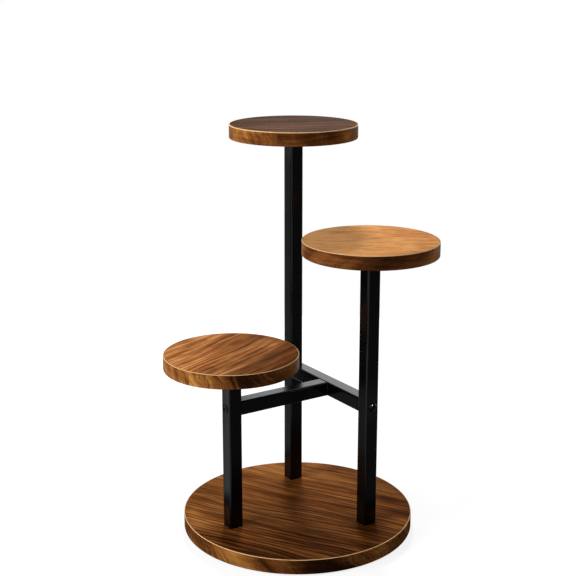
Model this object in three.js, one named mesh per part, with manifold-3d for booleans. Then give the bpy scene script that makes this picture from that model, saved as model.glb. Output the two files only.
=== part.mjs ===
// Tiered stand: a round base board, three square steel posts of different heights with a
// round tray on each, and a T-shaped brace of the same tube bolted between the posts.
//
// Millimetres, +Z up. The origin is on the floor under the middle of the base. The posts
// stand at thirds of a circle round it, and every tube's faces are square to X and Y: the
// brace's arm runs along X to the lowest post, its bar along Y between the other two.

import * as THREE from 'three';
import { mergeVertices } from 'three/addons/utils/BufferGeometryUtils.js';
import Module from 'manifold-3d';

const wasm = await Module();
wasm.setup();

// Base board
const base_diameter = 400;
const base_thickness = 26;

// Round pads under the base: a ring of them near the rim and one in the middle
const foot_pad_diameter = 30;
const foot_pad_thickness = 3;
const foot_pad_chamfer = 0.5;
const foot_pad_inset = 10;
const rim_foot_pad_count = 6;

// Trays, with heights from the floor to each tray's top face
const tray_diameter = 225;
const tray_thickness = 24;
const low_tray_height = 339;
const mid_tray_height = 528;
const high_tray_height = 691;

// Strip glued round the rim of each board, with the angle at which its two ends meet
const edge_band_thickness = 2;
const edge_band_flat = 0.5;
const edge_band_end_gap = 0.3;
const base_band_joint_angle = 120;
const low_band_joint_angle = -157;
const mid_band_joint_angle = 20;
const high_band_joint_angle = -137;

// Square steel tube of the posts and the brace
const tube_width = 25;
const tube_wall = 1.5;
const tube_inner_corner_radius = 1.5;

// Where the posts stand, with the side of each that its brace bolt's head is on
const post_circle_radius = 132;
const low_post_angle = 180;
const mid_post_angle = -60;
const high_post_angle = 60;
const low_bolt_side = 180;
const mid_bolt_side = -90;
const high_bolt_side = 90;

// Plate welded on top of each post, which carries the tray
const tray_plate_margin = 22;
const tray_plate_thickness = 3;
const tray_plate_corner_radius = 6;

// Wood screws up through the plate into the tray
const tray_screw_diameter = 4;
const tray_screw_head_diameter = 8;
const tray_screw_head_height = 2.6;
const tray_screw_head_flat_diameter = 4.8;
const tray_screw_tip_length = 4;
const tray_screw_cover = 7;

// Brace: clear height between its top and the underside of the lowest tray
const brace_drop = 59.5;

// Tapped plates inside the posts' feet, and the plates that close the brace's tube ends,
// each with a nut welded behind it
const foot_plate_thickness = 6;
const brace_end_plate_thickness = 3;
const nut_height = 6.5;
const nut_wall = 2.5;

// Bolts, the same at the base and at the brace but for their heads
const bolt_diameter = 8;
const bolt_head_rim_height = 0.6;
const bolt_socket_across_flats = 5;
const bolt_socket_depth = 2.2;
const bolt_end_chamfer = 1;
const bolt_stick_out = 2;

// Button heads at the base, each on a washer
const base_bolt_head_diameter = 14;
const base_bolt_head_height = 4.4;
const base_bolt_head_flat_diameter = 6.6;
const base_bolt_head_recess = 2;
const washer_diameter = 16;
const washer_thickness = 1.6;

// Low, wide heads at the brace, right on the posts
const brace_bolt_head_diameter = 16;
const brace_bolt_head_height = 2.4;
const brace_bolt_head_flat_diameter = 7.6;

// Clearances
const seat_gap = 0.3;
const thread_gap = 0.3;
const bolt_hole_clearance = 0.4;
const counterbore_clearance = 1.5;
const cut_overrun = 1;

// How finely round forms are faceted
const base_segments = 80;
const tray_segments = 56;
const bolt_segments = 16;
const screw_segments = 10;
const tube_corner_steps = 4;
const band_rounding_steps = 2;
const dome_steps = 3;

// Heights that follow from the sizes above
const base_top = foot_pad_thickness + base_thickness;
const low_tray_underside = low_tray_height - tray_thickness;
const brace_height = low_tray_underside - brace_drop - tube_width / 2;

const tube_inside = tube_width - 2 * tube_wall;
const tube_corner_radius = tube_inner_corner_radius + tube_wall;
const bolt_hole_radius = bolt_diameter / 2 + bolt_hole_clearance;
const tapped_hole_radius = bolt_diameter / 2 + thread_gap;

const finishes = {
  base_wood: finish(0x4d2f1b, 0.45, 0),
  low_wood: finish(0x70452a, 0.45, 0),
  mid_wood: finish(0x8f5a30, 0.45, 0),
  high_wood: finish(0x3f281a, 0.45, 0),
  edge_band: finish(0x7d4f2b, 0.5, 0),
  black_steel: finish(0x161617, 0.45, 0.3),
  black_bolt: finish(0x101011, 0.35, 0.6),
  plain_steel: finish(0xa8a8a4, 0.4, 0.9),
  felt: finish(0x2b2a28, 0.95, 0),
};

const tiers = [
  {
    name: 'low',
    tray_height: low_tray_height,
    ...on_post_circle(low_post_angle),
    bolt_side: low_bolt_side,
    band_joint_angle: low_band_joint_angle,
    wood: finishes.low_wood,
  },
  {
    name: 'mid',
    tray_height: mid_tray_height,
    ...on_post_circle(mid_post_angle),
    bolt_side: mid_bolt_side,
    band_joint_angle: mid_band_joint_angle,
    wood: finishes.mid_wood,
  },
  {
    name: 'high',
    tray_height: high_tray_height,
    ...on_post_circle(high_post_angle),
    bolt_side: high_bolt_side,
    band_joint_angle: high_band_joint_angle,
    wood: finishes.high_wood,
  },
];

function finish(color, roughness, metalness) {
  return new THREE.MeshStandardMaterial({ color, roughness, metalness });
}

function radians(degrees) {
  return THREE.MathUtils.degToRad(degrees);
}

function on_post_circle(angle) {
  return {
    x: post_circle_radius * Math.cos(radians(angle)),
    y: post_circle_radius * Math.sin(radians(angle)),
  };
}

// ---- shaping -------------------------------------------------------------------------

// Closed solid from a geometry, with the zero-area facets on a lathe's axis left out
function solid_from(geometry) {
  const bare = geometry.clone();
  bare.deleteAttribute('normal');
  bare.deleteAttribute('uv');
  const merged = mergeVertices(bare);
  const corners = [];
  for (let i = 0; i < merged.index.count; i += 3) {
    const [a, b, c] = [0, 1, 2].map((step) => merged.index.getX(i + step));
    if (a !== b && b !== c && c !== a) {
      corners.push(a, b, c);
    }
  }
  return new wasm.Manifold(new wasm.Mesh({
    numProp: 3,
    vertProperties: merged.attributes.position.array,
    triVerts: new Uint32Array(corners),
  }));
}

// Cuts the tools out of a geometry
function cut(geometry, tools) {
  let solid = solid_from(geometry);
  for (const tool of tools) {
    solid = solid.subtract(solid_from(tool));
  }
  const mesh = solid.getMesh();
  const shared = new THREE.BufferGeometry();
  shared.setAttribute('position', new THREE.BufferAttribute(mesh.vertProperties, 3));
  shared.setIndex(new THREE.BufferAttribute(mesh.triVerts, 1));
  const faceted = shared.toNonIndexed();
  faceted.computeVertexNormals();
  return faceted;
}

function outline(points) {
  return points.map(([x, y]) => new THREE.Vector2(x, y));
}

// Solid of revolution round Z, from points of radius and height
function turned(points, segments) {
  const geometry = new THREE.LatheGeometry(outline(points), segments);
  geometry.rotateX(Math.PI / 2);
  return geometry;
}

// Points of an arc in a plane, between two angles in degrees
function arc(center_x, center_y, radius, from, to, steps) {
  const points = [];
  for (let step = 0; step <= steps; step += 1) {
    const angle = radians(from + (to - from) * step / steps);
    points.push([center_x + radius * Math.cos(angle), center_y + radius * Math.sin(angle)]);
  }
  return points;
}

// Plain round bar along Z between two heights, used as a drill
function drill(radius, bottom, top) {
  const geometry = new THREE.CylinderGeometry(radius, radius, top - bottom, bolt_segments);
  geometry.rotateX(Math.PI / 2);
  geometry.translate(0, 0, (bottom + top) / 2);
  return geometry;
}

function rounded_square(width, corner_radius) {
  const center = width / 2 - corner_radius;
  return outline([
    ...arc(center, center, corner_radius, 0, 90, tube_corner_steps),
    ...arc(-center, center, corner_radius, 90, 180, tube_corner_steps),
    ...arc(-center, -center, corner_radius, 180, 270, tube_corner_steps),
    ...arc(center, -center, corner_radius, 270, 360, tube_corner_steps),
  ]);
}

function circle(x, y, radius) {
  return outline(arc(x, y, radius, 0, 360, bolt_segments).slice(1));
}

// A flat outline with holes in it, thickened upwards from Z = 0
function plate(edge, holes, thickness) {
  const shape = new THREE.Shape(edge);
  shape.holes = holes.map((hole) => new THREE.Path(hole));
  return new THREE.ExtrudeGeometry(shape, { depth: thickness, bevelEnabled: false });
}

// Square tube standing on Z = 0
function square_tube(length) {
  const outside = rounded_square(tube_width, tube_corner_radius);
  const inside = rounded_square(tube_inside, tube_inner_corner_radius);
  return plate(outside, [inside], length);
}

// ---- boards and their edge bands ------------------------------------------------------

function board(diameter, thickness, segments, drills) {
  const radius = diameter / 2 - edge_band_thickness - seat_gap;
  const blank = turned([[0, 0], [radius, 0], [radius, thickness], [0, thickness]], segments);
  return cut(blank, drills);
}

// The strip's two outer edges are rounded, and its ends meet in a butt joint
function edge_band(diameter, thickness, segments, joint_angle) {
  const outer = diameter / 2;
  const inner = outer - edge_band_thickness;
  const rounding = edge_band_thickness - edge_band_flat;
  const ring = turned([
    [inner, 0],
    ...arc(outer - rounding, rounding, rounding, -90, 0, band_rounding_steps),
    ...arc(outer - rounding, thickness - rounding, rounding, 0, 90, band_rounding_steps),
    [inner, thickness],
    [inner, 0],
  ], segments);
  const saw = new THREE.BoxGeometry(
    edge_band_thickness + 2 * cut_overrun,
    edge_band_end_gap,
    thickness + 2 * cut_overrun,
  );
  saw.translate(outer - edge_band_thickness / 2, 0, thickness / 2);
  saw.rotateZ(radians(joint_angle));
  return cut(ring, [saw]);
}

// ---- fasteners ------------------------------------------------------------------------

// Domed bolt along Z, its head upwards from Z = 0 and its shank below
function domed_bolt(shank_length, head_diameter, head_height, head_flat_diameter) {
  const shank = bolt_diameter / 2;
  const head = head_diameter / 2;
  const flat = head_flat_diameter / 2;
  const dome_height = head_height - bolt_head_rim_height;
  const dome = arc(0, 0, 1, 0, 90, dome_steps).map(([out, up]) => [
    flat + (head - flat) * out,
    bolt_head_rim_height + dome_height * up,
  ]);
  const blank = turned([
    [0, -shank_length],
    [shank - bolt_end_chamfer, -shank_length],
    [shank, bolt_end_chamfer - shank_length],
    [shank, 0],
    [head, 0],
    ...dome,
    [0, head_height],
  ], bolt_segments);
  const key_radius = bolt_socket_across_flats / Math.sqrt(3);
  const key_length = bolt_socket_depth + cut_overrun;
  const key = new THREE.CylinderGeometry(key_radius, key_radius, key_length, 6);
  key.rotateX(Math.PI / 2);
  key.translate(0, 0, head_height - bolt_socket_depth + key_length / 2);
  return cut(blank, [key]);
}

function base_bolt(shank_length) {
  return domed_bolt(
    shank_length,
    base_bolt_head_diameter,
    base_bolt_head_height,
    base_bolt_head_flat_diameter,
  );
}

function brace_bolt(shank_length) {
  return domed_bolt(
    shank_length,
    brace_bolt_head_diameter,
    brace_bolt_head_height,
    brace_bolt_head_flat_diameter,
  );
}

function washer() {
  const edge = circle(0, 0, washer_diameter / 2);
  return plate(edge, [circle(0, 0, bolt_hole_radius)], washer_thickness);
}

// Hexagon nut standing on Z = 0
function nut() {
  const across_flats = bolt_diameter + 2 * nut_wall;
  const hexagon = outline(arc(0, 0, across_flats / Math.sqrt(3), 0, 360, 6).slice(1));
  return plate(hexagon, [circle(0, 0, tapped_hole_radius)], nut_height);
}

// Tapped plate that fits inside the foot of a post
function foot_plate() {
  const edge = rounded_square(tube_inside - 2 * seat_gap, tube_inner_corner_radius);
  return plate(edge, [circle(0, 0, tapped_hole_radius)], foot_plate_thickness);
}

// Plate that closes the end of a brace tube
function brace_end_plate() {
  const edge = rounded_square(tube_width, tube_corner_radius);
  return plate(edge, [circle(0, 0, bolt_hole_radius)], brace_end_plate_thickness);
}

// Wood screw pointing up, the seat of its head at Z = 0
function tray_screw(shank_length) {
  const shank = tray_screw_diameter / 2;
  const head = tray_screw_head_diameter / 2;
  return turned([
    [0, -tray_screw_head_height],
    [tray_screw_head_flat_diameter / 2, -tray_screw_head_height],
    [head, -tray_screw_head_height / 2],
    [head, 0],
    [shank, 0],
    [shank, shank_length - tray_screw_tip_length],
    [0, shank_length],
  ], screw_segments);
}

// ---- placing --------------------------------------------------------------------------

const stand = new THREE.Group();

function place(parent, name, geometry, material, x, y, z) {
  const mesh = new THREE.Mesh(geometry, material);
  mesh.name = name;
  mesh.position.set(x, y, z);
  parent.add(mesh);
}

// Foot pads, between the posts' bolts, and one at the origin
function add_foot_pads() {
  const radius = foot_pad_diameter / 2;
  const pad = turned([
    [0, 0],
    [radius - foot_pad_chamfer, 0],
    [radius, foot_pad_chamfer],
    [radius, foot_pad_thickness],
    [0, foot_pad_thickness],
  ], bolt_segments);
  place(stand, 'foot_pad_middle', pad, finishes.felt, 0, 0, 0);
  const circle_radius = base_diameter / 2 - foot_pad_inset - radius;
  for (let number = 1; number <= rim_foot_pad_count; number += 1) {
    const angle = 2 * Math.PI * (number - 0.5) / rim_foot_pad_count;
    const x = circle_radius * Math.cos(angle);
    const y = circle_radius * Math.sin(angle);
    place(stand, `foot_pad_${number}`, pad, finishes.felt, x, y, 0);
  }
}

// Bolt seat in the base, measured up from the base's underside: the head is sunk in a
// counterbore with its washer, and the shank goes on into the foot plate of the post
const base_head_seat = base_bolt_head_recess + base_bolt_head_height;
const base_washer_seat = base_head_seat + seat_gap;
const counterbore_depth = base_washer_seat + washer_thickness + seat_gap;

function add_base() {
  const drills = [];
  for (const tier of tiers) {
    const counterbore_radius = washer_diameter / 2 + counterbore_clearance;
    const counterbore = drill(counterbore_radius, -cut_overrun, counterbore_depth);
    const bolt_hole = drill(bolt_hole_radius, -cut_overrun, base_thickness + cut_overrun);
    for (const tool of [counterbore, bolt_hole]) {
      tool.translate(tier.x, tier.y, 0);
      drills.push(tool);
    }
  }
  const disc = board(base_diameter, base_thickness, base_segments, drills);
  place(stand, 'base_board', disc, finishes.base_wood, 0, 0, foot_pad_thickness);
  const band = edge_band(base_diameter, base_thickness, base_segments, base_band_joint_angle);
  place(stand, 'base_edge_band', band, finishes.edge_band, 0, 0, foot_pad_thickness);
}

// A post, its foot plate and the bolt that holds it to the base
function add_post(tier, group) {
  const top = tier.tray_height - tray_thickness - tray_plate_thickness;
  const bolt_hole = drill(bolt_hole_radius, -tube_width, tube_width);
  bolt_hole.rotateY(Math.PI / 2);
  bolt_hole.rotateZ(radians(tier.bolt_side));
  bolt_hole.translate(0, 0, brace_height - base_top);
  const tube = cut(square_tube(top - base_top), [bolt_hole]);
  place(group, `${tier.name}_post`, tube, finishes.black_steel, 0, 0, base_top);

  const foot_plate_name = `${tier.name}_post_foot_plate`;
  place(group, foot_plate_name, foot_plate(), finishes.plain_steel, 0, 0, base_top);

  const head_seat = foot_pad_thickness + base_head_seat;
  const bolt_top = base_top + foot_plate_thickness + bolt_stick_out;
  const bolt = base_bolt(bolt_top - head_seat);
  bolt.rotateX(Math.PI);
  place(group, `${tier.name}_base_bolt`, bolt, finishes.plain_steel, 0, 0, head_seat);
  const washer_seat = foot_pad_thickness + base_washer_seat;
  place(group, `${tier.name}_base_washer`, washer(), finishes.plain_steel, 0, 0, washer_seat);
}

// A tray, its edge band, the plate under it and the four screws that hold it
function add_tray(tier, group) {
  const underside = tier.tray_height - tray_thickness;
  const screw_offset = tube_width / 2 + tray_plate_margin / 2;
  const screw_embed = tray_thickness - tray_screw_cover;
  const screw_spots = [[1, 1], [-1, 1], [-1, -1], [1, -1]].map(([x, y]) => [
    x * screw_offset,
    y * screw_offset,
  ]);

  const pilot_radius = tray_screw_diameter / 2 + thread_gap;
  const plate_edge = rounded_square(tube_width + 2 * tray_plate_margin, tray_plate_corner_radius);
  const plate_holes = screw_spots.map(([x, y]) => circle(x, y, pilot_radius));
  const tray_plate = plate(plate_edge, plate_holes, tray_plate_thickness);
  tray_plate.translate(0, 0, -tray_plate_thickness);
  place(group, `${tier.name}_tray_plate`, tray_plate, finishes.black_steel, 0, 0, underside);

  const pilots = screw_spots.map(([x, y]) => {
    const pilot = drill(pilot_radius, -cut_overrun, screw_embed + seat_gap);
    pilot.translate(x, y, 0);
    return pilot;
  });

  const disc = board(tray_diameter, tray_thickness, tray_segments, pilots);
  place(group, `${tier.name}_tray_board`, disc, tier.wood, 0, 0, underside);
  const band = edge_band(tray_diameter, tray_thickness, tray_segments, tier.band_joint_angle);
  place(group, `${tier.name}_tray_edge_band`, band, finishes.edge_band, 0, 0, underside);

  const screw = tray_screw(tray_plate_thickness + screw_embed);
  screw_spots.forEach(([x, y], index) => {
    const name = `${tier.name}_tray_screw_${index + 1}`;
    place(group, name, screw, finishes.plain_steel, x, y, underside - tray_plate_thickness);
  });
}

// Middle of a post to where the brace's end plate starts, and to where its tube starts
const brace_plate_face = tube_width / 2 + seat_gap;
const brace_tube_start = brace_plate_face + brace_end_plate_thickness;

// The bolt through a post into the brace's end, with +X pointing out at the bolt's head
function add_brace_joint(tier, group) {
  const joint = new THREE.Group();
  joint.position.set(0, 0, brace_height);
  joint.rotation.z = radians(tier.bolt_side);
  group.add(joint);

  const head_seat = tube_width / 2 + seat_gap;
  const nut_back = -brace_tube_start - seat_gap - nut_height;
  const bolt = brace_bolt(head_seat - nut_back + bolt_stick_out);

  const pieces = [
    ['brace_bolt', bolt, finishes.black_bolt, head_seat],
    ['brace_end_plate', brace_end_plate(), finishes.black_steel, -brace_tube_start],
    ['brace_nut', nut(), finishes.plain_steel, nut_back],
  ];
  for (const [name, geometry, material, x] of pieces) {
    geometry.rotateY(Math.PI / 2);
    place(joint, `${tier.name}_${name}`, geometry, material, x, 0, 0);
  }
}

// The bar runs between two posts, and the arm from the third is welded to its middle
function add_brace() {
  const [low, mid, high] = tiers;
  const bar_start = mid.y + brace_tube_start;
  const bar = square_tube(high.y - brace_tube_start - bar_start);
  bar.rotateX(-Math.PI / 2);
  place(stand, 'brace_bar', bar, finishes.black_steel, mid.x, bar_start, brace_height);

  const arm_start = low.x + brace_tube_start;
  const arm = square_tube(mid.x - tube_width / 2 - arm_start);
  arm.rotateY(Math.PI / 2);
  place(stand, 'brace_arm', arm, finishes.black_steel, arm_start, low.y, brace_height);
}

add_foot_pads();
add_base();
for (const tier of tiers) {
  const group = new THREE.Group();
  group.position.set(tier.x, tier.y, 0);
  stand.add(group);
  add_post(tier, group);
  add_tray(tier, group);
  add_brace_joint(tier, group);
}
add_brace();

export default stand;
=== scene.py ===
"""Dresses the tiered stand: printed wood boards with edge strips on black square-tube posts."""

import math

import bmesh
import bpy
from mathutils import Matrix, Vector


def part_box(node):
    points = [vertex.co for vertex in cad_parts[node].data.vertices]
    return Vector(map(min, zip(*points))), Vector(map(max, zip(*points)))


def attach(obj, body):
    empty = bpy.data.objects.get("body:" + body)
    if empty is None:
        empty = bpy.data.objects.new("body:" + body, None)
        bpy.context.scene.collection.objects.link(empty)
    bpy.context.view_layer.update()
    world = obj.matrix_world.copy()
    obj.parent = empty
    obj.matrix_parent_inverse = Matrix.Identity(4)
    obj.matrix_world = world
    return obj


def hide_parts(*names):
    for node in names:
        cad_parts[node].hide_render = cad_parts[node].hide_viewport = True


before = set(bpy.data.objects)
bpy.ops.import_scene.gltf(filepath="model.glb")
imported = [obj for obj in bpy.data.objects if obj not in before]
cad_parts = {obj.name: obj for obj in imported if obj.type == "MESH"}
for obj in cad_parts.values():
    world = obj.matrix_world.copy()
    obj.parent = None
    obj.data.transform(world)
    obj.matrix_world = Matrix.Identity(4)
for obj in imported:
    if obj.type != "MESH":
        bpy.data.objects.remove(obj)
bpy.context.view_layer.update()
scene = bpy.context.scene


# ---- Studio -----------------------------------------------------------------------------------
# The camera stands to the front left at the photograph's angle. The floor is a pale disc that
# fades into a white surround, and lamps light it. Flat sheets that only gloss shows paint
# reflections and shade into the steel, and none of this is part of the stand.
camera_place = (-1.1121, -1.6746, 0.975)
camera_turn = math.radians(-33.11)
camera_drop = math.radians(15.15)
camera_lens = 77.12
camera_sensor = 36


def add_object(name, data):
    """A new object of this data in the scene."""
    thing = bpy.data.objects.new(name, data)
    scene.collection.objects.link(thing)
    return thing


camera_data = bpy.data.cameras.new("camera")
camera_data.lens = camera_lens
camera_data.sensor_width = camera_sensor
camera = add_object("camera", camera_data)
camera.location = camera_place
camera.rotation_euler = (math.pi / 2 - camera_drop, 0, camera_turn)
scene.camera = camera
scene.view_settings.view_transform = "Standard"

white = (1, 1, 1, 1)
surround_light = 0.3


def feed(tree, node, inputs):
    """Gives each of these sockets of a node a value, or another node's output."""
    for key, value in inputs.items():
        if isinstance(value, bpy.types.NodeSocket):
            tree.links.new(value, node.inputs[key])
        else:
            node.inputs[key].default_value = value


def add_node(tree, kind, inputs=None, **settings):
    """A shader node with these settings and inputs."""
    node = tree.nodes.new(kind)
    for key, value in settings.items():
        setattr(node, key, value)
    feed(tree, node, inputs or {})
    return node


def calc(tree, operation, *values, clamp=False):
    """The output of a maths node on these values."""
    inputs = dict(enumerate(values))
    node = add_node(tree, "ShaderNodeMath", inputs, operation=operation, use_clamp=clamp)
    return node.outputs[0]


def seen_directly(tree):
    """1 for what the camera, a gloss or a clear piece sees, and 0 for soft light."""
    path = add_node(tree, "ShaderNodeLightPath")
    seen = calc(tree, "MAXIMUM", path.outputs["Is Camera Ray"], path.outputs["Is Glossy Ray"])
    return calc(tree, "MAXIMUM", seen, path.outputs["Is Transmission Ray"])


surround = bpy.data.worlds.new("surround")
surround.use_nodes = True
scene.world = surround
surround_tree = surround.node_tree
surround_tree.nodes.clear()
surround_seen = seen_directly(surround_tree)
surround_strength = calc(
    surround_tree, "MULTIPLY_ADD", surround_seen, 1 - surround_light, surround_light
)
background = add_node(
    surround_tree, "ShaderNodeBackground", {"Color": white, "Strength": surround_strength}
)
add_node(surround_tree, "ShaderNodeOutputWorld", {"Surface": background.outputs[0]})

floor_radius = 1.3
floor_segments = 96
floor_paint_colour = (0.14, 0.14, 0.14, 1)
floor_fade = {"From Min": 0.3, "From Max": 1.1, "To Min": 0.86, "To Max": 1.0}


def add_mesh(name, mesh):
    """A new object of a worked mesh, which is used up."""
    data = bpy.data.meshes.new(name)
    mesh.to_mesh(data)
    mesh.free()
    return add_object(name, data)


def bare_material(name):
    """A material with an empty tree, and that tree."""
    material = bpy.data.materials.new(name)
    material.use_nodes = True
    material.node_tree.nodes.clear()
    return material, material.node_tree


def object_place(tree):
    """The place on an object, in its own metres."""
    return add_node(tree, "ShaderNodeTexCoord").outputs["Object"]


floor_disc = bmesh.new()
bmesh.ops.create_circle(floor_disc, cap_ends=True, radius=floor_radius, segments=floor_segments)
floor = add_mesh("floor", floor_disc)

floor_finish, floor_tree = bare_material("pale_floor")
floor_reach = add_node(
    floor_tree, "ShaderNodeVectorMath", {0: object_place(floor_tree)}, operation="LENGTH"
)
floor_fading = add_node(
    floor_tree,
    "ShaderNodeMapRange",
    {"Value": floor_reach.outputs["Value"], **floor_fade},
    interpolation_type="SMOOTHSTEP",
)
floor_glow = calc(
    floor_tree, "MULTIPLY", floor_fading.outputs["Result"], seen_directly(floor_tree)
)
floor_white = add_node(floor_tree, "ShaderNodeEmission", {"Color": white, "Strength": floor_glow})
floor_paint = add_node(floor_tree, "ShaderNodeBsdfDiffuse", {"Color": floor_paint_colour})
floor_sum = add_node(
    floor_tree, "ShaderNodeAddShader", {0: floor_white.outputs[0], 1: floor_paint.outputs[0]}
)
add_node(floor_tree, "ShaderNodeOutputMaterial", {"Surface": floor_sum.outputs[0]})
floor.data.materials.append(floor_finish)

stand_middle = (0, 0, 0.35)
glint_aim = (0.066, -0.129, 0.243)
glint_spread = math.radians(15)


def soft_lamp(name, place, size, power, aim=stand_middle, shines=False):
    """A square soft box at place, turned towards aim; one that shines is seen in gloss."""
    data = bpy.data.lights.new(name, "AREA")
    data.shape = "SQUARE"
    data.size = size
    data.energy = power
    lamp = add_object(name, data)
    lamp.location = place
    way = [a - p for a, p in zip(aim, place)]
    flat = math.hypot(way[0], way[1])
    lamp.rotation_euler = (math.pi / 2 + math.atan2(way[2], flat), 0, math.atan2(-way[0], way[1]))
    lamp.visible_glossy = shines
    lamp.visible_camera = not shines
    return lamp


soft_lamp("lamp_left", place=(-2.0, 0.1, 1.3), size=1.2, power=52)
soft_lamp("lamp_back", place=(0.85, 1.3, 1.9), size=0.35, power=41)
soft_lamp("lamp_low_back", place=(1.82, 1.9, 0.95), size=1.3, power=4.7, shines=True)
glint_lamp = soft_lamp(
    "lamp_glint", place=(0.161, -0.462, 0.290), size=0.03, power=0.024, aim=glint_aim, shines=True
)
glint_lamp.data.spread = glint_spread
glint_lamp.visible_diffuse = False

painted_reflection_colour = (0.94, 0.96, 1, 1)
front_right = (0.546, -0.838)
back_left = (-0.606, 0.796)
base_middle = (0, 0)
left_post_place = (-0.145, 0)
laid_height = 0.0004
under_height = 0.0006
under_radius = 0.3


def circle(radius, segments):
    """Points round a circle, or its middle alone where the radius is 0."""
    if radius == 0:
        return [(0, 0)]
    turns = [2 * math.pi * i / segments for i in range(segments)]
    return [(radius * math.cos(turn), radius * math.sin(turn)) for turn in turns]


def add_painted_reflection(name, corners, glow):
    """A flat painted reflection this bright, from 0 for black, which only gloss shows and which
    casts no shadow.
    """
    finish, tree = bare_material(name)
    light = add_node(tree, "ShaderNodeEmission", {"Color": painted_reflection_colour, "Strength": glow})
    add_node(tree, "ShaderNodeOutputMaterial", {"Surface": light.outputs[0]})
    mesh = bmesh.new()
    mesh.faces.new([mesh.verts.new(corner) for corner in corners])
    reflection_sheet = add_mesh(name, mesh)
    reflection_sheet.data.materials.append(finish)
    for sight in ("camera", "diffuse", "transmission", "volume_scatter", "shadow"):
        setattr(reflection_sheet, "visible_" + sight, False)


def painted_reflection_corner(start, way, out, side, height):
    """A place so far out from a start along a way, so far to that way's left, and so high."""
    return (
        start[0] + way[0] * out - way[1] * side,
        start[1] + way[1] * out + way[0] * side,
        height,
    )


def laid_painted_reflection(name, start, way, reach, sides, glow):
    """A painted reflection that lies flat on the floor along a way."""
    (near, far), (left, right) = reach, sides
    spots = [(near, left), (far, left), (far, right), (near, right)]
    corners = [painted_reflection_corner(start, way, out, side, laid_height) for out, side in spots]
    add_painted_reflection(name, corners, glow)


def upright_painted_reflection(name, out, sides, heights, glow):
    """A painted reflection that stands upright across the way to the front right."""
    (left, right), (bottom, top) = sides, heights
    spots = [(left, bottom), (right, bottom), (right, top), (left, top)]
    corners = [painted_reflection_corner(base_middle, front_right, out, side, height) for side, height in spots]
    add_painted_reflection(name, corners, glow)


# Painted reflections for the steel: dim sheets on the floor to the front right and to the left
# post's back left, and upright ones out to the front right and behind the stand, set how dark the
# posts' faces and feet look in gloss. The disc under the base is painted shade round the base, as
# the posts reflect it.
laid_painted_reflection(
    "painted_reflection_floor", base_middle, front_right, reach=(0.25, 1.3), sides=(-0.8, 0.8), glow=0.15
)
under_corners = [(x, y, under_height) for x, y in circle(under_radius, segments=48)]
add_painted_reflection("painted_shade_under_base", under_corners, glow=0.02)
laid_painted_reflection(
    "painted_reflection_floor_left", left_post_place, back_left, reach=(0.1, 1.0), sides=(0.09, -0.09), glow=0.7
)
upright_painted_reflection("painted_reflection_front", out=1.3, sides=(-0.8, 0.8), heights=(0, 1.6), glow=0.13)
upright_painted_reflection("painted_reflection_back_low", out=-0.26, sides=(-0.105, 0.095), heights=(0, 0.14), glow=0.2)
upright_painted_reflection("painted_reflection_back_high", out=-0.26, sides=(-0.105, 0.095), heights=(0.14, 0.6), glow=0)
upright_painted_reflection("painted_reflection_back_side", out=-0.26, sides=(0.095, 0.14), heights=(0, 0.75), glow=0.3)


# ---- Foot pads --------------------------------------------------------------------------------
# Seven discs of dark pressed felt stuck under the base: six near its rim and one in its middle.
# They are punched from sheet, with a slightly worn lower edge.
pad_nodes = ["foot_pad_middle"] + [f"foot_pad_{number}" for number in range(1, 7)]
pad_wear = 0.0006
felt_fibre_rate = 1600
felt_nap = 0.0004
felt_roughness = 0.95
felt_sheen = 0.1
felt_shades = [(0.3, (0.02, 0.02, 0.019)), (0.7, (0.075, 0.073, 0.07))]


def ramp(tree, value, stops):
    """A colour ramp's output; stops are places from 0 to 1 with their colours."""
    node = add_node(tree, "ShaderNodeValToRGB", {"Fac": value})
    node.color_ramp.interpolation = "LINEAR"
    elements = node.color_ramp.elements
    while len(elements) < len(stops):
        elements.new(1.0)
    for element, (place, colour) in zip(elements, stops):
        element.position = place
        element.color = (*colour, 1)
    return node.outputs["Color"]


def noise(tree, place, scale, detail=2.0, roughness=0.5):
    """A noise texture's value."""
    inputs = {"Vector": place, "Scale": scale, "Detail": detail, "Roughness": roughness}
    return add_node(tree, "ShaderNodeTexNoise", inputs).outputs["Fac"]


def new_surface(name):
    """A material with a principled shader, given as material, tree and shader."""
    material, tree = bare_material(name)
    shader = add_node(tree, "ShaderNodeBsdfPrincipled")
    add_node(tree, "ShaderNodeOutputMaterial", {"Surface": shader.outputs[0]})
    return material, tree, shader


def raise_surface(tree, shader, height, depth, strength=1.0):
    """Relief of this depth in metres from a height from 0 to 1."""
    inputs = {"Height": height, "Distance": depth, "Strength": strength}
    bump = add_node(tree, "ShaderNodeBump", inputs)
    feed(tree, shader, {"Normal": bump.outputs["Normal"]})


def ring_across(mesh, middle, axis, place, points):
    """A ring of corners across an axis, at one place along it, from points round its middle."""
    first, second = [i for i in range(3) if i != axis]
    ring = []
    for a, b in points:
        corner = [0, 0, 0]
        corner[axis] = place
        corner[first] = middle[first] + a
        corner[second] = middle[second] + b
        ring.append(mesh.verts.new(corner))
    return ring


def join_rings(mesh, rings, closed=False):
    """Faces between neighbouring rings of as many points; a ring of one point is a tip."""
    pairs = list(zip(rings, rings[1:]))
    if closed:
        pairs.append((rings[-1], rings[0]))
    for here, there in pairs:
        count = max(len(here), len(there))
        for i in range(count):
            j = (i + 1) % count
            if len(here) == 1:
                mesh.faces.new((here[0], there[i], there[j]))
            elif len(there) == 1:
                mesh.faces.new((here[i], there[0], here[j]))
            else:
                mesh.faces.new((here[i], there[i], there[j], here[j]))


def turned(outline, middle, segments):
    """A form turned round an upright axis, from points of radius and height in metres."""
    mesh = bmesh.new()
    rings = [
        ring_across(mesh, middle, 2, height, circle(radius, segments))
        for radius, height in outline
    ]
    join_rings(mesh, rings)
    return mesh


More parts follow.
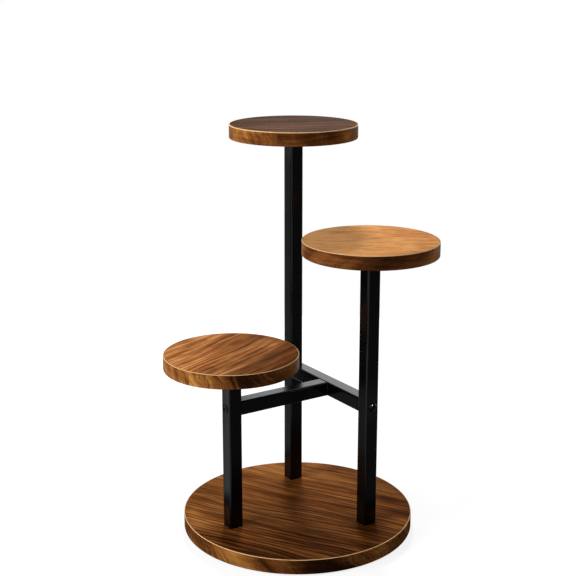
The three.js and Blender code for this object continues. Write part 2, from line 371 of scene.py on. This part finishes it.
def middle_of(node):
    """The middle of a CAD node's box."""
    lower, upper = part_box(node)
    return (lower + upper) / 2


def soften(mesh, sharpest=40):
    """Smooth shading, except over edges sharper than this angle in degrees."""
    for face in mesh.faces:
        face.smooth = True
    for edge in mesh.edges:
        if len(edge.link_faces) == 2:
            edge.smooth = edge.calc_face_angle(0) < math.radians(sharpest)


def add_piece(name, mesh, materials, nodes):
    """Makes an object of a worked mesh, on the stand's one body, in place of CAD nodes."""
    bmesh.ops.recalc_face_normals(mesh, faces=mesh.faces)
    soften(mesh)
    piece = add_mesh(name, mesh)
    for material in materials:
        piece.data.materials.append(material)
    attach(piece, "root")
    if nodes:
        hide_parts(*nodes)


felt, felt_tree, felt_shader = new_surface("pressed_felt")
felt_fibres = noise(felt_tree, object_place(felt_tree), felt_fibre_rate, detail=4, roughness=0.7)
feed(felt_tree, felt_shader, {
    "Base Color": ramp(felt_tree, felt_fibres, felt_shades),
    "Roughness": felt_roughness,
    "Sheen Weight": felt_sheen,
})
raise_surface(felt_tree, felt_shader, felt_fibres, felt_nap)

for node in pad_nodes:
    lower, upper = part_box(node)
    radius = (upper.x - lower.x) / 2
    outline = [
        (0, lower.z),
        (radius - pad_wear, lower.z),
        (radius - pad_wear / 3, lower.z + pad_wear / 3),
        (radius, lower.z + pad_wear),
        (radius, upper.z),
        (0, upper.z),
    ]
    pad = turned(outline, middle_of(node), segments=64)
    add_piece(node.replace("foot_pad", "felt_pad"), pad, [felt], [node])


# ---- Boards -----------------------------------------------------------------------------------
# The base and the three trays are discs of particle board with a printed walnut-look face pressed
# on each side. The print's grain runs another way on each board, and the trays' prints differ.
# The base is counterbored from beneath for the bolts that hold the posts.
# Some prints also carry painted shadow and painted light: the boards' leans, and the spots marked
# below.
strip_thickness = 0.002
bored_posts = ["low_post", "mid_post", "high_post"]
bore_reach = 0.0095
bore_depth = 0.0086
bore_band = 0.0005
bolt_hole_reach = 0.0044
cutter_spare = 0.002
face_skin = 0.00001
chip_rate = 900
chip_relief = 0.0003
chip_roughness = 0.9
chip_shades = [(0.1, (0.40, 0.27, 0.15)), (0.8, (0.20, 0.12, 0.06))]

wide_wander = 0.0364
small_wander = 0.00168
line_wobble = 6.0
line_crispness = 1.8
line_strength = 0.30
line_level = 0.4
patch_contrast = 4.0
patch_level = 0.55
red_tint = (1.0, 0.80, 0.66, 1)
red_contrast = 3.0
red_level = 0.3
red_share = 0.6
pore_colour = (0.012, 0.005, 0.002, 1)
pore_level = 0.12
pore_share = 0.3
wood_roughness = 0.5
wood_rough_spread = 0.3
wood_ior = 1.45
print_specular = 0.005
print_relief = 0.00008

base_tones = [
    (0.06, (0.014, 0.004, 0.0006)),
    (0.28, (0.045, 0.0132, 0.0024)),
    (0.50, (0.113, 0.0382, 0.0088)),
    (0.72, (0.225, 0.087, 0.023)),
    (0.94, (0.390, 0.172, 0.052)),
]
low_tones = [
    (0.06, (0.075, 0.024, 0.006)),
    (0.28, (0.150, 0.050, 0.013)),
    (0.50, (0.255, 0.094, 0.026)),
    (0.72, (0.400, 0.172, 0.056)),
    (0.94, (0.560, 0.290, 0.115)),
]
mid_tones = [
    (0.06, (0.225, 0.077, 0.020)),
    (0.28, (0.355, 0.138, 0.038)),
    (0.50, (0.475, 0.206, 0.063)),
    (0.72, (0.575, 0.269, 0.087)),
    (0.94, (0.675, 0.345, 0.120)),
]
high_tones = [
    (0.06, (0.032, 0.013, 0.006)),
    (0.28, (0.068, 0.030, 0.014)),
    (0.50, (0.120, 0.058, 0.028)),
    (0.72, (0.185, 0.095, 0.046)),
    (0.94, (0.280, 0.155, 0.080)),
]
# Spots on the base's print; the three marked below are painted shadow, the rest are print.
base_spots_and_painted_shade = [
    (0.049, 0.153, 0.068, 0.024, 0.18),
    (0.117, 0.082, 0.060, 0.020, 0.08),
    (0.131, 0.141, 0.030, 0.014, 0.30),
    (-0.182, 0.045, 0.035, 0.018, 0.28),
    (-0.134, 0.123, 0.030, 0.020, -0.14),
    (-0.100, 0.154, 0.040, 0.015, -0.16),
    (-0.020, 0.165, 0.040, 0.020, -0.14),
    (-0.163, 0.086, 0.022, 0.016, 0.22),
    (0.148, -0.067, 0.030, 0.018, -0.20),
    (0.121, -0.148, 0.030, 0.010, 0.32),
    (0.180, -0.023, 0.035, 0.015, 0.20),
    (0.095, -0.160, 0.035, 0.016, 0.24),
    # Painted shadow in front of the mid post's foot.
    (0.045, -0.140, 0.030, 0.015, -0.26),
    (-0.165, -0.105, 0.025, 0.015, -0.18),
    (-0.072, -0.170, 0.080, 0.022, 0.32),
    # Painted shadow: a darker streak in front of the high post's foot, over these two spots.
    (0.040, 0.088, 0.022, 0.030, -0.20),
    (0.045, 0.045, 0.022, 0.020, -0.16),
]
low_spots = [
    (-0.062, 0.051, 0.026, 0.003, -0.25),
    (-0.039, 0.072, 0.020, 0.003, -0.20),
    (-0.087, 0.036, 0.015, 0.0025, -0.20),
    (-0.089, 0.022, 0.025, 0.010, 0.12),
    (0.088, 0.003, 0.040, 0.024, 0.26),
    (0.067, -0.048, 0.030, 0.020, -0.08),
    (-0.036, 0.090, 0.022, 0.014, -0.20),
    (-0.068, -0.049, 0.014, 0.010, -0.18),
    (-0.063, -0.073, 0.012, 0.008, 0.10),
]
mid_spots_and_painted_light = [
    # Painted light: lifts the left and back, where the high tray's shadow from the back lamp falls.
    (-0.010, 0.055, 0.055, 0.045, 0.14),
    (-0.009, 0.078, 0.022, 0.008, -0.28),
    (-0.046, 0.087, 0.018, 0.014, 0.20),
    (-0.030, 0.040, 0.014, 0.012, 0.22),
    (-0.081, 0.022, 0.014, 0.014, -0.22),
    (-0.060, 0.003, 0.014, 0.010, 0.12),
]
# Each board's lean is painted light, grading it lighter towards one side as the light falls across
# it; the high tray has none.
board_prints = {
    "base": dict(
        tones=base_tones, grain_turn=-60, seed=3, gain=0.75, shade=-0.04, lean=(0.35, 0.75),
        line_gap=0.0090, lines=0.85, line_lean=(-3.7, -4.8), mottled=0.25, spots=base_spots_and_painted_shade,
    ),
    "low_tray": dict(
        tones=low_tones, grain_turn=20, seed=27, shade=-0.06, lean=(-2.2, 1.4),
        line_gap=0.013, lines=0.8, line_lean=(-7.5, 4.9), mottled=0.5, spots=low_spots,
    ),
    # The mid tray's lean is painted light too, lifting the same shadowed left and back.
    "mid_tray": dict(
        tones=mid_tones, grain_turn=-30, seed=41, gain=0.5, shade=0.23, lean=(-1.6, 1.5),
        lines=0.2, mottled=1.5, spots=mid_spots_and_painted_light,
    ),
    "high_tray": dict(
        tones=high_tones, grain_turn=-25, seed=57, gain=1.3, shade=-0.24, lines=0.6,
    ),
}


def add_layers(tree, tone, layers):
    """A tone with these figures added, each times its weight."""
    for layer, weight in layers:
        tone = calc(tree, "MULTIPLY_ADD", layer, weight, tone)
    return tone


def bell(tree, *offs):
    """1 in a spot's middle, fading with how many reaches away from it a place is each way."""
    far = 0
    for off in offs:
        far = calc(tree, "MULTIPLY_ADD", off, off, far)
    return calc(tree, "EXPONENT", calc(tree, "MULTIPLY", far, -1))


def laminate(
    name, centre, tones, grain_turn, seed, gain=1.0, shade=0.0, lean=(0, 0), line_gap=0.0065,
    lines=1.0, line_lean=(0, 0), mottled=0.0, spots=(),
):
    """Printed wood face: growth lines along the grain, long streaks, clouds and fine pores.

    Each spot is a place from the board's middle, its reach along and across the grain, and how
    much lighter it is; most are print, and some are painted shadow and painted light. Leans are
    the change per metre to the right and to the back, and are painted light: a board lighter
    towards one side, as the light falls across it.
    """
    material, tree, shader = new_surface(name)
    moved = add_node(
        tree,
        "ShaderNodeVectorMath",
        {0: object_place(tree), 1: (*centre[:2], 0)},
        operation="SUBTRACT",
    ).outputs[0]
    turn = math.radians(grain_turn)
    turned_place = add_node(
        tree, "ShaderNodeVectorRotate", {"Vector": moved, "Angle": -turn}, rotation_type="Z_AXIS"
    ).outputs[0]
    along, across, _ = add_node(tree, "ShaderNodeSeparateXYZ", {0: turned_place}).outputs
    right, back, _ = add_node(tree, "ShaderNodeSeparateXYZ", {0: moved}).outputs

    def figure(along_rate, across_rate, shift, line=across, detail=2.0, roughness=0.5):
        """Noise round zero that changes at these rates per metre along and across the grain."""
        inputs = {
            "X": calc(tree, "MULTIPLY", along, along_rate),
            "Y": calc(tree, "MULTIPLY", line, across_rate),
            "Z": seed + shift,
        }
        spot = add_node(tree, "ShaderNodeCombineXYZ", inputs).outputs[0]
        return calc(tree, "SUBTRACT", noise(tree, spot, 1, detail, roughness), 0.5)

    def mixed(share, first, second, blend):
        """Two colours mixed, with this share of the second."""
        inputs = {0: share, 6: first, 7: second}
        node = add_node(tree, "ShaderNodeMix", inputs, data_type="RGBA", blend_type=blend)
        return node.outputs[2]

    wander = calc(tree, "MULTIPLY_ADD", figure(3.5, 5, 1), wide_wander, across)
    wander = calc(tree, "MULTIPLY_ADD", figure(18, 30, 2), small_wander, wander)
    cloud = figure(2.2, 8, 3, wander)
    band = figure(2.0, 26, 4, wander)
    streak = figure(3.6, 80, 5, wander, detail=3, roughness=0.65)
    thread = figure(9, 210, 11, wander, roughness=0.6)
    fine = figure(12, 480, 6, wander, roughness=0.6)
    pores = figure(45, 1700, 7, wander)
    mottle = figure(30, 75, 12, detail=4, roughness=0.65)

    steps = calc(tree, "DIVIDE", wander, line_gap)
    phase = calc(tree, "MULTIPLY_ADD", figure(2.2, 14, 8), line_wobble, steps)
    swing = calc(tree, "SINE", calc(tree, "MULTIPLY", phase, 2 * math.pi))
    crest = calc(tree, "POWER", calc(tree, "MULTIPLY_ADD", swing, 0.5, 0.5), line_crispness)
    patch = calc(tree, "MULTIPLY_ADD", figure(7, 16, 9), patch_contrast, patch_level)
    patch = calc(tree, "MULTIPLY_ADD", right, line_lean[0], patch)
    patch = calc(tree, "MULTIPLY_ADD", back, line_lean[1], patch, clamp=True)
    growth = calc(tree, "MULTIPLY", calc(tree, "SUBTRACT", crest, line_level), patch)

    layers = [
        (cloud, 1.0 * gain),
        (band, 0.5 * gain),
        (streak, 1.1 * gain),
        (thread, 0.9 * gain),
        (fine, 0.3 * gain),
        (mottle, mottled),
        (growth, -line_strength * lines),
        (right, lean[0]),
        (back, lean[1]),
    ]
    tone = add_layers(tree, 0.5 + shade, layers)
    for x, y, reach, width, lift in spots:
        spot_along = x * math.cos(turn) + y * math.sin(turn)
        spot_across = y * math.cos(turn) - x * math.sin(turn)
        off = calc(tree, "MULTIPLY_ADD", along, 1 / reach, -spot_along / reach)
        aside = calc(tree, "MULTIPLY_ADD", wander, 1 / width, -spot_across / width)
        tone = calc(tree, "MULTIPLY_ADD", bell(tree, off, aside), lift, tone)

    red = calc(
        tree, "MULTIPLY_ADD", figure(2.5, 12, 10), red_contrast, red_level, clamp=True
    )
    red = calc(tree, "MULTIPLY", red, red_share)
    warm = mixed(red, ramp(tree, tone, tones), red_tint, "MULTIPLY")
    in_pore = calc(tree, "MULTIPLY", calc(tree, "GREATER_THAN", pores, pore_level), pore_share)
    feed(tree, shader, {
        "Base Color": mixed(in_pore, warm, pore_colour, "MIX"),
        "Roughness": calc(tree, "MULTIPLY_ADD", fine, wood_rough_spread, wood_roughness),
        "IOR": wood_ior,
        "Specular IOR Level": print_specular,
    })
    raise_surface(tree, shader, calc(tree, "ADD", fine, pores), print_relief, strength=0.5)
    return material


def chip_board():
    """Raw particle board, as the counterbores show it."""
    material, tree, shader = new_surface("chip_board")
    inputs = {"Vector": object_place(tree), "Scale": chip_rate}
    chips = add_node(tree, "ShaderNodeTexVoronoi", inputs).outputs["Distance"]
    colour = ramp(tree, chips, chip_shades)
    feed(tree, shader, {"Base Color": colour, "Roughness": chip_roughness})
    raise_surface(tree, shader, chips, chip_relief)
    return material


def bored(mesh, bottom, top):
    """The panel with a counterbore and a bolt hole up through it under each post."""
    blank = add_mesh("panel_blank", mesh)
    bore_top = bottom + bore_depth
    outline = [
        (0, bottom - cutter_spare),
        (bore_reach, bottom - cutter_spare),
        (bore_reach, bore_top),
        (bolt_hole_reach, bore_top),
        (bolt_hole_reach, top + cutter_spare),
        (0, top + cutter_spare),
    ]
    cutters = []
    for post in bored_posts:
        cutter_mesh = turned(outline, middle_of(post), segments=48)
        bmesh.ops.recalc_face_normals(cutter_mesh, faces=cutter_mesh.faces)
        cutter = add_mesh("bore", cutter_mesh)
        boring = blank.modifiers.new("bore", "BOOLEAN")
        boring.operation = "DIFFERENCE"
        boring.solver = "EXACT"
        boring.object = cutter
        cutters.append(cutter)
    finished = bmesh.new()
    finished.from_object(blank, bpy.context.evaluated_depsgraph_get())
    for spent in [blank, *cutters]:
        bpy.data.objects.remove(spent)
    for face in finished.faces:
        middle = face.calc_center_median()
        off = min((middle - middle_of(post)).xy.length for post in bored_posts)
        inside = bottom + face_skin < middle.z < top - face_skin
        face.material_index = 1 if off < bore_reach + bore_band and inside else 0
    return finished


raw_board = chip_board()
for name, print_of in board_prints.items():
    lower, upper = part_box(f"{name}_edge_band")
    centre = middle_of(f"{name}_edge_band")
    radius = (upper.x - lower.x) / 2 - strip_thickness
    outline = [(0, lower.z), (radius, lower.z), (radius, upper.z), (0, upper.z)]
    board = turned(outline, centre, segments=192)
    bmesh.ops.recalc_face_normals(board, faces=board.faces)
    if name == "base":
        board = bored(board, lower.z, upper.z)
    face_print = laminate(f"{name}_print", centre, **print_of)
    add_piece(
        f"{name}_panel", board, [face_print, raw_board], [f"{name}_board"]
    )


# ---- Edge strips ------------------------------------------------------------------------------
# A 2 mm strip is glued round each board's rim and its two edges are rounded off, which cuts
# through the printed flame grain to the pale core. Its two ends meet in a butt joint.
strip_rounding = 0.0015
strip_hold = 0.0002
strip_hairline = 0.00025
strip_segments = 240
strip_joint_turns = {"base": 120, "low_tray": -157, "mid_tray": 20, "high_tray": -137}
flame_bend = 0.030
flame_contrast = 4.0
flame_level = 0.8
strip_roughness = 0.45
strip_ior = 1.45
strip_specular = 0.02
strip_relief = 0.00006
core_from = {"base": 28, "low_tray": 26, "mid_tray": 10, "high_tray": 0}
core_to = 80
core_shades = [(0.3, (0.60, 0.35, 0.14)), (0.7, (0.80, 0.52, 0.24))]
strip_tones = [
    (0.06, (0.022, 0.007, 0.002)),
    (0.30, (0.075, 0.023, 0.006)),
    (0.52, (0.185, 0.063, 0.015)),
    (0.74, (0.360, 0.145, 0.032)),
    (0.96, (0.560, 0.265, 0.070)),
]
strip_prints = {
    "base": dict(
        seed=2.0, lean=0.9, flames=0.6, smears=0.5, shade=-0.01,
        patches=[
            (0.327, 0.040, 0.16),
            (0.367, 0.006, -0.25),
            (0.455, 0.056, -0.58),
            (0.577, 0.032, 0.30),
        ],
    ),
    "low_tray": dict(
        seed=5.0, lean=0.6, flames=0.85, smears=0.3, shade=0.07,
        patches=[
            (0.018, 0.030, 0.20),
            (0.697, 0.050, 0.15),
            (0.064, 0.016, 0.10),
            (0.104, 0.024, -0.36),
            (0.165, 0.045, -0.10),
        ],
    ),
    "mid_tray": dict(
        seed=8.0, lean=-1.2, flames=0.3, smears=0.5, shade=-0.05,
        patches=[(0.45, 0.05, -0.08), (0.55, 0.05, 0.22)],
    ),
    "high_tray": dict(
        seed=12.0, lean=0.4, flames=0.45, smears=0.5, shade=-0.05,
        patches=[(0.03, 0.06, -0.06), (0.68, 0.07, 0.1)],
    ),
}


def strip_print(name, seed, lean, flames, smears, shade, patches):
    """Flame figure on a strip, whose UV map holds metres along it and up it.

    Each patch is a place along the strip, how far it reaches and how much lighter it is.
    """
    material, tree, shader = new_surface(name)
    place = add_node(tree, "ShaderNodeUVMap", uv_map="strip").outputs[0]
    along, up, _ = add_node(tree, "ShaderNodeSeparateXYZ", {0: place}).outputs
    sloped = calc(tree, "MULTIPLY_ADD", up, lean, along)

    def figure(value, along_rate, up_rate, shift, detail=2.0, roughness=0.5):
        """Noise round zero at these rates per metre along and up the strip."""
        inputs = {
            "X": calc(tree, "MULTIPLY", value, along_rate),
            "Y": calc(tree, "MULTIPLY", up, up_rate),
            "Z": seed + shift,
        }
        spot = add_node(tree, "ShaderNodeCombineXYZ", inputs).outputs[0]
        return calc(tree, "SUBTRACT", noise(tree, spot, 1, detail, roughness), 0.5)

    cloud = figure(sloped, 11, 12, 0.0)
    bent = calc(tree, "MULTIPLY_ADD", figure(along, 22, 45, 3.1), flame_bend, sloped)
    flame = figure(bent, 190, 16, 6.2, detail=3, roughness=0.6)
    wisp = figure(bent, 620, 40, 7.7, roughness=0.6)
    grain = figure(along, 30, 1300, 9.3, detail=3, roughness=0.6)
    smear = figure(along, 26, 230, 14.7, detail=3, roughness=0.6)
    strength = calc(
        tree, "MULTIPLY_ADD", figure(along, 9, 20, 12.1), flame_contrast, flame_level, clamp=True
    )
    tone = add_layers(tree, 0.5 + shade, [(cloud, 1.3)])
    for spot, reach, lift in patches:
        off = calc(tree, "DIVIDE", calc(tree, "SUBTRACT", sloped, spot), reach)
        tone = calc(tree, "MULTIPLY_ADD", bell(tree, off), lift, tone)
    layers = [
        (calc(tree, "MULTIPLY", flame, strength), 1.5 * flames),
        (wisp, 0.5 * flames),
        (grain, 0.35),
        (smear, smears),
    ]
    tone = add_layers(tree, tone, layers)
    feed(tree, shader, {
        "Base Color": ramp(tree, tone, strip_tones),
        "Roughness": strip_roughness,
        "IOR": strip_ior,
        "Specular IOR Level": strip_specular,
    })
    raise_surface(tree, shader, calc(tree, "ADD", grain, flame), strip_relief, strength=0.5)
    return material


def clouded_surface(
    name, shades, cloud_rate, rough, rough_spread, grit_rate, grit_relief,
    cloud_detail=3, cloud_roughness=0.6, **inputs,
):
    """A surface with clouds of colour and gloss and a fine grit, in changes per metre."""
    material, tree, shader = new_surface(name)
    place = object_place(tree)
    cloud = noise(tree, place, cloud_rate, cloud_detail, cloud_roughness)
    colour = ramp(tree, cloud, shades)
    roughness = calc(tree, "MULTIPLY_ADD", cloud, rough_spread, rough)
    feed(tree, shader, {"Base Color": colour, "Roughness": roughness, **inputs})
    raise_surface(tree, shader, noise(tree, place, grit_rate), grit_relief, strength=0.4)
    return material


def quarter_arc(x, y, radius, start, steps=6):
    """Points over a quarter turn anticlockwise from an angle, round a middle."""
    angles = [start + math.pi / 2 * step / steps for step in range(steps + 1)]
    return [(x + radius * math.cos(angle), y + radius * math.sin(angle)) for angle in angles]


def strip_outline(outer, bottom, top):
    """Radius and height round the strip's section, from its inner lower corner, anticlockwise."""
    inner = outer - strip_thickness
    corner = outer - strip_rounding
    low_bend = bottom + strip_rounding
    high_bend = top - strip_rounding
    return [
        (inner, bottom),
        *quarter_arc(corner, low_bend, strip_rounding, -math.pi / 2),
        (outer, low_bend + strip_hold),
        (outer, high_bend - strip_hold),
        *quarter_arc(corner, high_bend, strip_rounding, 0),
        (inner, top),
    ]


def edge_strip(node, joint_turn, pale_from):
    """The strip as one open ring, whose ends meet with a hairline between them.

    The core shows on each rounding, from this many degrees above its foot to near its top.
    """
    lower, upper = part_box(node)
    centre = middle_of(node)
    outer = (upper.x - lower.x) / 2
    hairline = strip_hairline / outer
    start = math.radians(joint_turn) + hairline / 2
    sweep = 2 * math.pi - hairline
    mesh = bmesh.new()
    uv = mesh.loops.layers.uv.new("strip")
    outline = strip_outline(outer, lower.z, upper.z)
    sections = []
    for i in range(strip_segments + 1):
        angle = start + sweep * i / strip_segments
        section = []
        for radius, height in outline:
            x = centre[0] + radius * math.cos(angle)
            y = centre[1] + radius * math.sin(angle)
            section.append(mesh.verts.new((x, y, height)))
        sections.append(section)
    for i, (here, there) in enumerate(zip(sections, sections[1:])):
        for j in range(len(outline)):
            k = (j + 1) % len(outline)
            face = mesh.faces.new((here[j], there[j], there[k], here[k]))
            run = outline[j][0] - outline[k][0]
            rise = outline[k][1] - outline[j][1]
            tilt = math.degrees(math.atan2(run, rise))
            face.material_index = 1 if pale_from < tilt < core_to else 0
            for loop in face.loops:
                step = i if loop.vert in here else i + 1
                run_along = outer * sweep * step / strip_segments
                loop[uv].uv = (run_along, loop.vert.co.z - lower.z)
    for end in (sections[0], sections[-1]):
        cap = mesh.faces.new(end)
        cap.material_index = 1
    return mesh


strip_core = clouded_surface(
    "strip_core", core_shades, cloud_rate=60, rough=strip_roughness, rough_spread=0,
    grit_rate=900, grit_relief=0.00004,
)
for name, print_of in strip_prints.items():
    strip = edge_strip(f"{name}_edge_band", strip_joint_turns[name], core_from[name])
    print_face = strip_print(f"{name}_strip_print", **print_of)
    add_piece(
        f"{name}_edge_strip", strip, [print_face, strip_core], [f"{name}_edge_band"]
    )


# ---- Posts ------------------------------------------------------------------------------------
# Three lengths of 25 mm square steel tube with rounded corners, sawn square, welded to a plate at
# the top and powder coated in satin black with a faint orange-peel skin.
tiers = ("low", "mid", "high")
tube_wall = 0.0015
tube_corner = 0.003
tube_hold = 0.0004
tray_weld_reach = 0.0022
tray_weld_ripple = 0.13
weld_step = 0.0011
weld_sink = 0.0001
weld_throat = 0.62
short_ripple = 2.2
long_ripple = 0.37
coat_cloud_rate = 30
coat_peel_rate = 700
coat_grit_rate = 2600
coat_grit_share = 0.3
coat_rough = 0.12
coat_rough_spread = 0.08
coat_ior = 1.3
coat_relief = 0.00005
coat_shades = [(0.3, (0.0006, 0.0006, 0.0007)), (0.7, (0.0014, 0.0014, 0.0016))]


def powder_coat():
    """Satin black powder coat."""
    material, tree, shader = new_surface("black_powder_coat")
    place = object_place(tree)
    cloud = noise(tree, place, coat_cloud_rate, detail=3, roughness=0.6)
    peel = noise(tree, place, coat_peel_rate)
    grit = noise(tree, place, coat_grit_rate, roughness=0.6)
    rough = add_layers(
        tree, coat_rough, [(grit, coat_rough_spread), (cloud, coat_rough_spread)]
    )
    feed(tree, shader, {
        "Base Color": ramp(tree, cloud, coat_shades),
        "Roughness": rough,
        "IOR": coat_ior,
    })
    skin = calc(tree, "MULTIPLY_ADD", grit, coat_grit_share, peel)
    raise_surface(tree, shader, skin, coat_relief, strength=0.5)
    return material


def half_width(lower, upper, axis):
    """Half the width of a square box across an axis."""
    side = 1 if axis == 0 else 0
    return (upper[side] - lower[side]) / 2


def rounded_square(half, corner):
    """Points round a square with rounded corners, with extra ones near each rounding."""
    flat = half - corner
    side = [(half, flat - tube_hold), *quarter_arc(flat, flat, corner, 0), (flat - tube_hold, half)]
    points = []
    for quarter in range(4):
        turn = math.pi / 2 * quarter
        c, s = math.cos(turn), math.sin(turn)
        points += [(x * c - y * s, x * s + y * c) for x, y in side]
    return points


def square_tube(node, axis):
    """A square tube that fills a CAD node's box along one axis, with open ends."""
    lower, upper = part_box(node)
    half = half_width(lower, upper, axis)
    outside = rounded_square(half, tube_corner)
    inside = rounded_square(half - tube_wall, tube_corner - tube_wall)
    loops = [(outside, lower), (outside, upper), (inside, upper), (inside, lower)]
    mesh = bmesh.new()
    rings = [ring_across(mesh, middle_of(node), axis, end[axis], loop) for loop, end in loops]
    join_rings(mesh, rings, closed=True)
    return mesh


def weld_bead(node, axis, reach, ripple):
    """A fillet weld round a square tube, where its upper end meets a face.

    Its section is given in shares of its reach, and a share of 0 lies just inside the steel.
    """
    lower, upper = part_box(node)
    middle = (lower + upper) / 2
    outline = rounded_square(half_width(lower, upper, axis), tube_corner)
    dense = []
    for (ax, ay), (bx, by) in zip(outline, outline[1:] + outline[:1]):
        count = max(1, round(math.hypot(bx - ax, by - ay) / weld_step))
        dense += [(ax + (bx - ax) * i / count, ay + (by - ay) * i / count) for i in range(count)]
    mesh = bmesh.new()
    rings = []
    for out, down in ((0, 0), (1, 0), (weld_throat, weld_throat), (0, 1)):
        ring = []
        for i, (a, b) in enumerate(dense):
            before, after = dense[i - 1], dense[(i + 1) % len(dense)]
            run = (after[0] - before[0], after[1] - before[1])
            length = math.hypot(*run)
            wave = math.sin(short_ripple * i) + math.sin(long_ripple * i) / 2
            size = reach * (1 + ripple * wave)
            off = out * size if out > 0 else -weld_sink
            drop = down * size if down > 0 else -weld_sink
            spot = (a + off * run[1] / length, b - off * run[0] / length)
            ring += ring_across(mesh, middle, axis, upper[axis] - drop, [spot])
        rings.append(ring)
    join_rings(mesh, rings, closed=True)
    return mesh


black_coat = powder_coat()
for tier in tiers:
    post = square_tube(f"{tier}_post", 2)
    add_piece(f"{tier}_post_tube", post, [black_coat], [f"{tier}_post"])
    tray_weld = weld_bead(f"{tier}_post", 2, tray_weld_reach, tray_weld_ripple)
    add_piece(f"{tier}_tray_weld", tray_weld, [black_coat], [])


# ---- Brace ------------------------------------------------------------------------------------
# A T of the same tube: the arm is welded to the middle of the bar, and a 3 mm plate with a nut
# behind it closes each tube end. It is coated after welding, like the posts.
brace_axes = {"brace_bar": 1, "brace_arm": 0}
brace_weld_reach = 0.0005
brace_weld_ripple = 0.05
plate_axes = {"low": 0, "mid": 1, "high": 1}
plate_easing = 0.0002


def end_plate(node, axis):
    """A square plate across a tube's end, its edges eased."""
    lower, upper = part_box(node)
    half = half_width(lower, upper, axis)
    steps = [
        (lower[axis], plate_easing),
        (lower[axis] + plate_easing, 0),
        (upper[axis] - plate_easing, 0),
        (upper[axis], plate_easing),
    ]
    mesh = bmesh.new()
    rings = []
    for place, inset in steps:
        points = rounded_square(half - inset, tube_corner - inset)
        rings.append(ring_across(mesh, middle_of(node), axis, place, points))
    join_rings(mesh, rings)
    mesh.faces.new(rings[0])
    mesh.faces.new(rings[-1])
    return mesh


for node, axis in brace_axes.items():
    tube = square_tube(node, axis)
    add_piece(f"{node}_tube", tube, [black_coat], [node])

arm_weld = weld_bead("brace_arm", brace_axes["brace_arm"], brace_weld_reach, brace_weld_ripple)
add_piece("brace_weld", arm_weld, [black_coat], [])

for tier, axis in plate_axes.items():
    plate = end_plate(f"{tier}_brace_end_plate", axis)
    add_piece(
        f"{tier}_brace_plate", plate, [black_coat], [f"{tier}_brace_end_plate"]
    )


# ---- Brace bolts ------------------------------------------------------------------------------
# M8 bolts with low domed heads and a hexagon socket, blackened and lightly oiled. Their heads sit
# right on the posts, and they run through into the nuts behind the brace's end plates.
bolt_heads = {"low": (0, -1), "mid": (1, -1), "high": (1, 1)}
bolt_segments = 48
shank_reach = 0.004
shank_chamfer = 0.001
head_height = 0.0024
head_rim = 0.0006
head_flat = 0.0042
dome_steps = 8
socket_apothem = 0.003
socket_depth = 0.0022
socket_cone = 0.0006
oxide_shades = [(0.3, (0.0005, 0.0005, 0.0006)), (0.7, (0.0015, 0.0015, 0.0016))]


def hexagon(apothem):
    """Points round a hexagon, this far from its middle to each side."""
    third = math.pi / 3
    points = []
    for i in range(bolt_segments):
        turn = 2 * math.pi * i / bolt_segments
        reach = apothem / math.cos(turn % third - third / 2)
        points.append((reach * math.cos(turn), reach * math.sin(turn)))
    return points


def button_bolt(node, axis, way):
    """A bolt along an axis, with a domed head; way is +1 or -1 towards its head."""
    lower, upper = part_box(node)
    head = half_width(lower, upper, axis)
    top = upper[axis] if way > 0 else lower[axis]
    end = lower[axis] if way > 0 else upper[axis]
    seat = top - way * head_height
    socket_floor = top - way * socket_depth
    sections = [
        (0, end),
        (shank_reach - shank_chamfer, end),
        (shank_reach, end + way * shank_chamfer),
        (shank_reach, seat),
        (head, seat),
        (head, seat + way * head_rim),
    ]
    rise = head_height - head_rim
    dome_drop = (head ** 2 - head_flat ** 2 - rise ** 2) / (2 * rise)
    dome_radius = math.hypot(dome_drop, head)
    for step in range(1, dome_steps + 1):
        out = head + (head_flat - head) * step / dome_steps
        up = head_rim + math.sqrt(dome_radius ** 2 - out ** 2) - dome_drop
        sections.append((out, seat + way * up))
    outlines = [(circle(radius, bolt_segments), place) for radius, place in sections]
    outlines += [
        (hexagon(socket_apothem), top),
        (hexagon(socket_apothem), socket_floor),
        (circle(0, bolt_segments), socket_floor - way * socket_cone),
    ]
    mesh = bmesh.new()
    middle = middle_of(node)
    rings = [ring_across(mesh, middle, axis, place, points) for points, place in outlines]
    join_rings(mesh, rings)
    return mesh


black_oxide = clouded_surface(
    "blackened_steel", oxide_shades, cloud_rate=300, rough=0.09, rough_spread=0.12,
    grit_rate=4000, grit_relief=0.00002, **{"Specular IOR Level": 0.2},
)
for tier, (axis, way) in bolt_heads.items():
    bolt = button_bolt(f"{tier}_brace_bolt", axis, way)
    add_piece(
        f"{tier}_brace_button_bolt", bolt, [black_oxide], [f"{tier}_brace_bolt"]
    )


# ---- Hidden fittings --------------------------------------------------------------------------
# The tray plates are coated with their posts. The screws, nuts, foot plates and base bolts are
# bright zinc-plated steel, and keep their CAD solids.
zinc_fittings = ["post_foot_plate", "base_bolt", "base_washer", "brace_nut"]
zinc_fittings += [f"tray_screw_{number}" for number in range(1, 5)]
zinc_shades = [(0.3, (0.46, 0.47, 0.48)), (0.7, (0.66, 0.66, 0.63))]


def recoat(node, material):
    """Gives a CAD node that stays in view another material."""
    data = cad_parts[node].data
    data.materials.clear()
    data.materials.append(material)


zinc = clouded_surface(
    "zinc_plated_steel", zinc_shades, cloud_rate=220, cloud_detail=4, cloud_roughness=0.65,
    rough=0.22, rough_spread=0.25, grit_rate=2500, grit_relief=0.00002, Metallic=1.0,
)
for tier in tiers:
    recoat(f"{tier}_tray_plate", black_coat)
    for fitting in zinc_fittings:
        recoat(f"{tier}_{fitting}", zinc)
